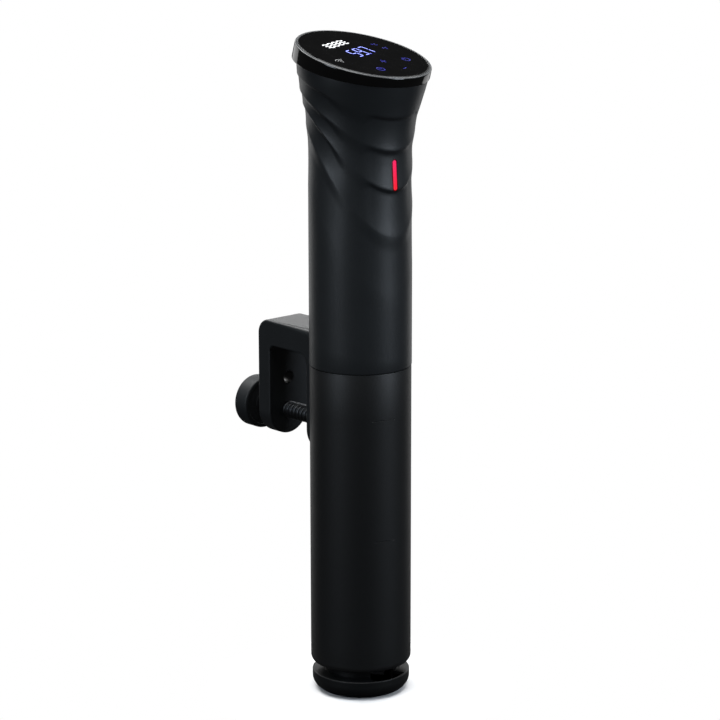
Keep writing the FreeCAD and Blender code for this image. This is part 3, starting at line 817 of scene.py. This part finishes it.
def surface(name, colour, second, rough, grain_mm, depth_mm, patch_mm=14.0, stretch=(1, 1, 1), metallic=0.0,
            specular=0.5, coat=0.0):
    """Base colour drifting to a second colour in soft patches, fine grain in roughness and bump."""
    mat, tree, shader = new_material(name)
    plain = coordinates(tree, (1, 1, 1))
    drawn = coordinates(tree, stretch)
    patches = noise(tree, plain, patch_mm, 3.0)
    grain = noise(tree, drawn, grain_mm, 3.0, 0.6)
    blend = node(tree, "ShaderNodeMath", operation="MULTIPLY_ADD")
    blend.inputs[1].default_value = 0.45
    feed(tree, grain, blend.inputs[0])
    feed(tree, to_range(tree, patches, 0.0, 0.55), blend.inputs[2])
    feed(tree, mixed(tree, blend.outputs[0], colour, second), shader.inputs["Base Color"])
    feed(tree, to_range(tree, grain, rough[0], rough[1]), shader.inputs["Roughness"])
    bump(tree, shader, grain, depth_mm)
    shader.inputs["Metallic"].default_value = metallic
    shader.inputs["Specular IOR Level"].default_value = specular
    shader.inputs["Coat Weight"].default_value = coat
    return mat


def dark(level):
    """Near-black with a faint blue cast."""
    return level, level * 1.18, level * 1.32


def metal(name, colour, second, stretch, rough=(0.22, 0.42)):
    """Drawn metal: the grain is long along the axis that the stretch makes small."""
    return surface(name, colour, second, rough, 0.35, 0.01, 9.0, stretch, metallic=1.0)


def plastic(name, level, second_level, rough, specular):
    """Near-black moulded plastic with a fine spark-eroded grain."""
    return surface(name, dark(level), dark(second_level), rough, 0.45, 0.03, 16.0, specular=specular)


def grey(v):
    return v, v, v


def glowing(name, low, high, strength):
    """Glowing sign with a slight unevenness of the diffuser; on the printed signs, which are no lamps, the
    glow is painted light.
    """
    mat, tree, shader = new_material(name)
    vector = coordinates(tree, (1, 1, 1))
    patches = noise(tree, vector, 2.0)
    colour = mixed(tree, to_range(tree, patches, 0.0, 1.0), low, high)
    feed(tree, colour, shader.inputs["Base Color"])
    feed(tree, colour, shader.inputs["Emission Color"])
    feed(tree, to_range(tree, patches, 0.25, 0.35), shader.inputs["Roughness"])
    bump(tree, shader, patches, 0.005)
    shader.inputs["Emission Strength"].default_value = strength
    return mat


LIGHT_EDGE = (1.05, 1.45)  # the strip darkens between these distances from its middle line
LIGHT_EDGE_GLOW = 0.07


def light_material():
    """Lit diffuser: rose at the top, red at the foot, dark along its edge."""
    mat, tree, shader = new_material("light_red")
    place = node(tree, "ShaderNodeTexCoord")
    split = node(tree, "ShaderNodeSeparateXYZ")
    feed(tree, place.outputs["Object"], split.inputs[0])
    height = to_range(tree, split.outputs["Z"], 0.0, 1.0, (LIGHT_LOW_Z * MM, LIGHT_HIGH_Z * MM))
    colour = mixed(tree, height, (0.72, 0.012, 0.008), (0.72, 0.012, 0.12))
    across = node(tree, "ShaderNodeMath", operation="ABSOLUTE")
    feed(tree, split.outputs["X"], across.inputs[0])
    centre_z = (LIGHT_LOW_Z + LIGHT_HIGH_Z) / 2 * MM
    straight = ((LIGHT_HIGH_Z - LIGHT_LOW_Z) / 2 - LIGHT_HALF_W) * MM
    offset = node(tree, "ShaderNodeMath", operation="SUBTRACT")
    offset.inputs[1].default_value = centre_z
    feed(tree, split.outputs["Z"], offset.inputs[0])
    along = node(tree, "ShaderNodeMath", operation="ABSOLUTE")
    feed(tree, offset.outputs[0], along.inputs[0])
    past = node(tree, "ShaderNodeMath", operation="SUBTRACT")
    past.inputs[1].default_value = straight
    feed(tree, along.outputs[0], past.inputs[0])
    end = node(tree, "ShaderNodeMath", operation="MAXIMUM")
    end.inputs[1].default_value = 0.0
    feed(tree, past.outputs[0], end.inputs[0])
    both = node(tree, "ShaderNodeCombineXYZ")
    feed(tree, across.outputs[0], both.inputs["X"])
    feed(tree, end.outputs[0], both.inputs["Y"])
    radius = node(tree, "ShaderNodeVectorMath", operation="LENGTH")
    feed(tree, both.outputs[0], radius.inputs[0])
    edge = to_range(tree, radius.outputs["Value"], 1.0, LIGHT_EDGE_GLOW, [reach * MM for reach in LIGHT_EDGE])
    speckle = noise(tree, place.outputs["Object"], 0.8)
    strength = node(tree, "ShaderNodeMath", operation="MULTIPLY")
    feed(tree, edge, strength.inputs[0])
    feed(tree, to_range(tree, speckle, 0.9, 1.1), strength.inputs[1])
    feed(tree, colour, shader.inputs["Emission Color"])
    feed(tree, strength.outputs[0], shader.inputs["Emission Strength"])
    feed(tree, mixed(tree, edge, (0.05, 0.002, 0.004), (0.5, 0.01, 0.03)), shader.inputs["Base Color"])
    feed(tree, to_range(tree, speckle, 0.3, 0.4), shader.inputs["Roughness"])
    bump(tree, shader, speckle, 0.01)
    shader.inputs["Specular IOR Level"].default_value = 0.15
    return mat


def board_material():
    """Green solder mask over copper tracks."""
    mat, tree, shader = new_material("board_green")
    vector = coordinates(tree, (1, 1, 1))
    tracks = node(tree, "ShaderNodeTexVoronoi", distance="CHEBYCHEV", feature="DISTANCE_TO_EDGE")
    tracks.inputs["Scale"].default_value = 1 / (3.2 * MM)
    feed(tree, vector, tracks.inputs["Vector"])
    lines = to_range(tree, tracks.outputs["Distance"], 1.0, 0.0, (0.04, 0.09))
    grain = noise(tree, vector, 0.5)
    feed(tree, mixed(tree, lines, (0.012, 0.085, 0.032), (0.03, 0.19, 0.07)), shader.inputs["Base Color"])
    feed(tree, to_range(tree, grain, 0.22, 0.36), shader.inputs["Roughness"])
    bump(tree, shader, lines, 0.03)
    return mat


WAVE_PERIOD = 0.31         # length of one band of the wave texture at a scale of 1


def banded_material(name, colour, second, width_mm, axis, rough, metallic=0.0):
    """Turns of tape, or fine turned or extruded lines, across one axis."""
    mat, tree, shader = new_material(name)
    vector = coordinates(tree, (1, 1, 1))
    bands = node(tree, "ShaderNodeTexWave", bands_direction=axis)
    bands.inputs["Scale"].default_value = WAVE_PERIOD / (width_mm * MM)
    bands.inputs["Distortion"].default_value = 0.4
    feed(tree, vector, bands.inputs["Vector"])
    grain = noise(tree, vector, 0.6)
    feed(tree, mixed(tree, bands.outputs["Fac"], colour, second), shader.inputs["Base Color"])
    feed(tree, to_range(tree, grain, *rough), shader.inputs["Roughness"])
    bump(tree, shader, bands.outputs["Fac"], 0.04)
    shader.inputs["Metallic"].default_value = metallic
    return mat


def glass_material():
    """Black glass with the faintest smears in its polish."""
    mat, tree, shader = new_material("display_glass")
    vector = coordinates(tree, (1, 1, 1))
    smears = noise(tree, vector, 9.0, 4.0)
    fine = noise(tree, vector, 0.7)
    feed(tree, mixed(tree, to_range(tree, smears, 0, 1), (0.0007, 0.0007, 0.0008), (0.0013, 0.0013, 0.0014)),
         shader.inputs["Base Color"])
    feed(tree, to_range(tree, smears, 0.05, 0.11), shader.inputs["Roughness"])
    bump(tree, shader, fine, 0.0006)
    shader.inputs["Specular IOR Level"].default_value = 0.22
    return mat


SATIN_AND_HIGHLIGHT_FROM = (0.75, 0.45)  # the bezel's polish turns satin, and its colour turns to a painted highlight, between these depths below the glass


def bezel_material():
    """Piano-black ring whose fine double edge has a satin polish and a painted highlight: it is coloured
    light grey.
    """
    mat, tree, shader = new_material("bezel_gloss")
    place = node(tree, "ShaderNodeTexCoord")
    fine = noise(tree, place.outputs["Object"], 0.8)
    patches = noise(tree, place.outputs["Object"], 20.0, 3.0)
    up = DISPLAY.to_3x3() @ Vector((0, 0, 1))
    height = node(tree, "ShaderNodeVectorMath", operation="DOT_PRODUCT")
    height.inputs[1].default_value = up
    feed(tree, place.outputs["Object"], height.inputs[0])
    level = DISPLAY.translation.dot(up) * MM
    satin_and_highlight_heights = [level - depth * MM for depth in SATIN_AND_HIGHLIGHT_FROM]
    satin_and_highlight = to_range(tree, height.outputs["Value"], 0.0, 1.0, satin_and_highlight_heights)
    tone = mixed(tree, to_range(tree, patches, 0.0, 1.0), grey(0.0015), grey(0.003))
    # painted highlight: the fine double edge is coloured light grey instead of black
    edge = node(tree, "ShaderNodeMix", data_type="RGBA")
    edge.inputs[7].default_value = (0.05, 0.053, 0.055, 1)
    feed(tree, satin_and_highlight, edge.inputs[0])
    feed(tree, tone, edge.inputs[6])
    feed(tree, edge.outputs[2], shader.inputs["Base Color"])
    polish = node(tree, "ShaderNodeMath", operation="MULTIPLY_ADD")
    polish.inputs[1].default_value = 0.24
    feed(tree, satin_and_highlight, polish.inputs[0])
    feed(tree, to_range(tree, fine, 0.05, 0.09), polish.inputs[2])
    feed(tree, polish.outputs[0], shader.inputs["Roughness"])
    bump(tree, shader, fine, 0.0006)
    return mat


MATERIALS = {
    "display_glass": glass_material(),
    "bezel_gloss": bezel_material(),
    "shell_plastic": plastic("shell_plastic", 0.0105, 0.0125, (0.38, 0.48), 0.47),
    "tube_plastic": plastic("tube_plastic", 0.0024, 0.0031, (0.46, 0.54), 0.46),
    "base_plastic": plastic("base_plastic", 0.0022, 0.003, (0.42, 0.52), 0.3),
    "neck_plastic": plastic("neck_plastic", 0.0022, 0.003, (0.38, 0.48), 0.4),
    "clamp_plastic": plastic("clamp_plastic", 0.0085, 0.0105, (0.36, 0.46), 0.5),
    "knob_plastic": plastic("knob_plastic", 0.0085, 0.0105, (0.5, 0.6), 0.35),
    "screw_steel": metal("screw_steel", (0.05, 0.053, 0.057), (0.09, 0.095, 0.1), (1, 0.2, 1), (0.3, 0.45)),
    "light_red": light_material(),
    "gland_plastic": plastic("gland_plastic", 0.009, 0.012, (0.4, 0.5), 0.4),
    "board_green": board_material(),
    "led_block": surface("led_block", grey(0.012), grey(0.02), (0.2, 0.32), 0.6, 0.005),
    "carrier_plastic": surface("carrier_plastic", (0.62, 0.61, 0.57), (0.52, 0.51, 0.47), (0.4, 0.55),
                               0.6, 0.03),
    "component_dark": surface("component_dark", grey(0.018), grey(0.032), (0.35, 0.5), 0.5, 0.03),
    "transformer_yellow": banded_material("transformer_yellow", (0.62, 0.45, 0.05), (0.5, 0.34, 0.03),
                                          2.4, "Z", (0.3, 0.45)),
    "capacitor_sleeve": surface("capacitor_sleeve", (0.012, 0.03, 0.1), (0.02, 0.05, 0.16), (0.18, 0.3),
                                0.8, 0.01, 4.0),
    "terminal_green": surface("terminal_green", (0.03, 0.25, 0.09), (0.04, 0.32, 0.12), (0.35, 0.5),
                              0.5, 0.03),
    "fuse_glass": surface("fuse_glass", (0.55, 0.57, 0.55), (0.7, 0.7, 0.66), (0.05, 0.12),
                          1.5, 0.002, coat=0.5),
    "spring_steel": metal("spring_steel", grey(0.5), grey(0.62), (1, 1, 0.2)),
    "fastener_steel": metal("fastener_steel", (0.46, 0.46, 0.47), (0.58, 0.58, 0.6), (1, 1, 0.3)),
    "shaft_steel": banded_material("shaft_steel", grey(0.5), grey(0.62), 0.25, "Z", (0.16, 0.28), 1.0),
    "stainless": metal("stainless", grey(0.42), grey(0.56), (1, 1, 0.08), (0.24, 0.4)),
    "motor_steel": metal("motor_steel", (0.36, 0.37, 0.38), (0.48, 0.49, 0.5), (1, 1, 0.15)),
    "magnet_ferrite": surface("magnet_ferrite", grey(0.045), grey(0.08), (0.55, 0.8), 0.3, 0.06, 5.0),
    "aluminium_plain": banded_material("aluminium_plain", grey(0.55), grey(0.68), 0.5, "X", (0.25, 0.4), 1.0),
    "brass_plain": banded_material("brass_plain", (0.6, 0.42, 0.16), (0.72, 0.53, 0.24),
                                   0.4, "Z", (0.2, 0.35), 1.0),
    "rubber_black": surface("rubber_black", grey(0.012), grey(0.022), (0.65, 0.85), 0.5, 0.05, specular=0.3),
    "seal_rubber": surface("seal_rubber", (0.2, 0.03, 0.022), (0.28, 0.05, 0.035), (0.5, 0.7), 0.6, 0.03),
    "lead_insulation": surface("lead_insulation", (0.55, 0.54, 0.5), (0.66, 0.65, 0.62), (0.45, 0.6),
                               0.8, 0.02),
    "bulkhead_plastic": surface("bulkhead_plastic", grey(0.02), grey(0.034), (0.4, 0.6), 0.35, 0.05),
    "bush_plastic": surface("bush_plastic", (0.66, 0.65, 0.6), (0.74, 0.73, 0.69), (0.3, 0.45), 0.6, 0.02),
    "impeller_plastic": surface("impeller_plastic", grey(0.07), grey(0.1), (0.35, 0.5), 0.5, 0.03),
}

for part in nodes.values():
    part.data.materials[0] = MATERIALS[part.data.materials[0].name.split(".")[0]]

for piece, slot in ((shell, "shell_plastic"), (light_strip, "light_red"), (bezel, "bezel_gloss"),
                    (tube, "tube_plastic"), (screw, "screw_steel"), (knob, "knob_plastic")):
    piece.data.materials.clear()
    piece.data.materials.append(MATERIALS[slot])

glow.data.materials.append(glowing("digit_glow_blue", (0.004, 0.004, 0.16), (0.008, 0.008, 0.26), 0.8))
digits.data.materials.append(glowing("digit_light", (0.32, 0.38, 1.0), (0.48, 0.55, 1.0), 0.85))
key_signs.data.materials.append(glowing("key_light", (0.012, 0.012, 0.16), (0.02, 0.02, 0.2), 0.55))
# the printed signs are no lamps: their emission is a painted glow
printed_signs.data.materials.append(glowing("printed_white_painted_glow", grey(0.6), grey(0.75), 0.5))
label_sign.data.materials.append(glowing("printed_grey_painted_glow", grey(0.2), grey(0.3), 0.3))


# ---- stage, light and camera, in metres ----

FLOOR_HALF = 6.0
FLOOR_FADE = (0.04, 0.09)  # the floor melts into the white surround between these radii
FLOOR_BOUNCE = 0.04        # how much of the light it gives back to the object


def build_floor():
    corners = [(x * FLOOR_HALF, y * FLOOR_HALF, 0) for x, y in ((-1, -1), (1, -1), (1, 1), (-1, 1))]
    mesh = bpy.data.meshes.new("floor")
    mesh.from_pydata(corners, [], [(0, 1, 2, 3)])
    floor = bpy.data.objects.new("floor", mesh)
    bpy.context.scene.collection.objects.link(floor)
    mat, tree, shader = new_material("floor_white")
    vector = coordinates(tree, (1, 1, 1))
    path = node(tree, "ShaderNodeLightPath")
    tone = mixed(tree, noise(tree, vector, 400.0), grey(0.9), grey(0.92))
    seen = node(tree, "ShaderNodeMix", data_type="RGBA")
    seen.inputs[6].default_value = (*grey(FLOOR_BOUNCE), 1)
    feed(tree, path.outputs["Is Camera Ray"], seen.inputs[0])
    feed(tree, tone, seen.inputs[7])
    feed(tree, seen.outputs[2], shader.inputs["Base Color"])
    shader.inputs["Roughness"].default_value = 0.9
    shader.inputs["Specular IOR Level"].default_value = 0.1
    distance = node(tree, "ShaderNodeVectorMath", operation="LENGTH")
    feed(tree, vector, distance.inputs[0])
    fade = to_range(tree, distance.outputs["Value"], 1.0, 0.0, FLOOR_FADE)
    feed(tree, fade, shader.inputs["Alpha"])
    mesh.materials.append(mat)


build_floor()

VIEW_HEADING = Vector((0.669, 0.743, 0)).normalized()
VIEW_RIGHT = Vector((VIEW_HEADING.y, -VIEW_HEADING.x, 0))
VIEW_PITCH = math.radians(13.445)
VIEW_ROLL = math.radians(-0.08)
CAMERA_PLACE = (-0.9917, -1.1010, 0.5480)
OBJECT_MID = Vector((0, 0, 0.2))
COOL = (0.82, 0.91, 1.02)  # tint of the two key lights


def softbox(name, sideways, ahead, height, width, tall, watts, colour=(1, 1, 1)):
    """Soft area light, placed to the right of and beyond the object as the main view sees it."""
    data = bpy.data.lights.new(name, "AREA")
    data.color = colour
    data.shape = "RECTANGLE"
    data.size = width
    data.size_y = tall
    data.energy = watts
    lamp = bpy.data.objects.new(name, data)
    bpy.context.scene.collection.objects.link(lamp)
    lamp.visible_camera = False
    lamp.location = VIEW_RIGHT * sideways + VIEW_HEADING * ahead + Vector((0, 0, height))
    lamp.rotation_euler = (OBJECT_MID - lamp.location).to_track_quat("-Z", "Y").to_euler()


# name, right, beyond, height, width, tall, watts; the keys stand low, where the upright walls mirror them
softbox("left_rim", -1.1, 1.75, 0.5, 1.1, 2.2, 7.2)
softbox("right_rim", 1.1, 1.75, 0.5, 1.1, 2.2, 6.5)
softbox("left_key", -0.95, -0.8, 0.6, 0.4, 0.9, 5.6, COOL)
softbox("right_key", 1.1, -0.52, 0.6, 0.42, 0.9, 8.6, COOL)
softbox("back_low", 0.0, 1.6, 0.58, 0.9, 0.32, 2.8)
softbox("overhead", -0.1, -0.1, 1.9, 1.5, 1.5, 48.0)
softbox("left_high", -1.0, 1.0, 1.9, 0.9, 0.9, 18.0)
softbox("right_high", 1.0, 1.0, 1.9, 0.9, 0.9, 15.0)


WORLD_BOUNCE = 0.035       # strength of the white surround for all that the camera doesn't see directly


def build_world():
    world = bpy.data.worlds.new("studio")
    bpy.context.scene.world = world
    world.use_nodes = True
    tree = world.node_tree
    background = tree.nodes["Background"]
    path = node(tree, "ShaderNodeLightPath")
    strength = node(tree, "ShaderNodeMapRange")
    strength.inputs["To Min"].default_value = WORLD_BOUNCE
    strength.inputs["To Max"].default_value = 1.0
    feed(tree, path.outputs["Is Camera Ray"], strength.inputs["Value"])
    feed(tree, strength.outputs["Result"], background.inputs["Strength"])
    background.inputs["Color"].default_value = (1, 1, 1, 1)


build_world()


def build_camera():
    data = bpy.data.cameras.new("camera")
    data.lens = 135.0
    data.sensor_width = 36.0
    camera = bpy.data.objects.new("camera", data)
    bpy.context.scene.collection.objects.link(camera)
    camera.location = CAMERA_PLACE
    ahead = VIEW_HEADING * math.cos(VIEW_PITCH) - Vector((0, 0, math.sin(VIEW_PITCH)))
    turn = ahead.to_track_quat("-Z", "Y").to_matrix().to_4x4() @ Matrix.Rotation(VIEW_ROLL, 4, "Z")
    camera.rotation_euler = turn.to_euler()
    bpy.context.scene.camera = camera


build_camera()
bpy.context.scene.view_settings.view_transform = "Standard"
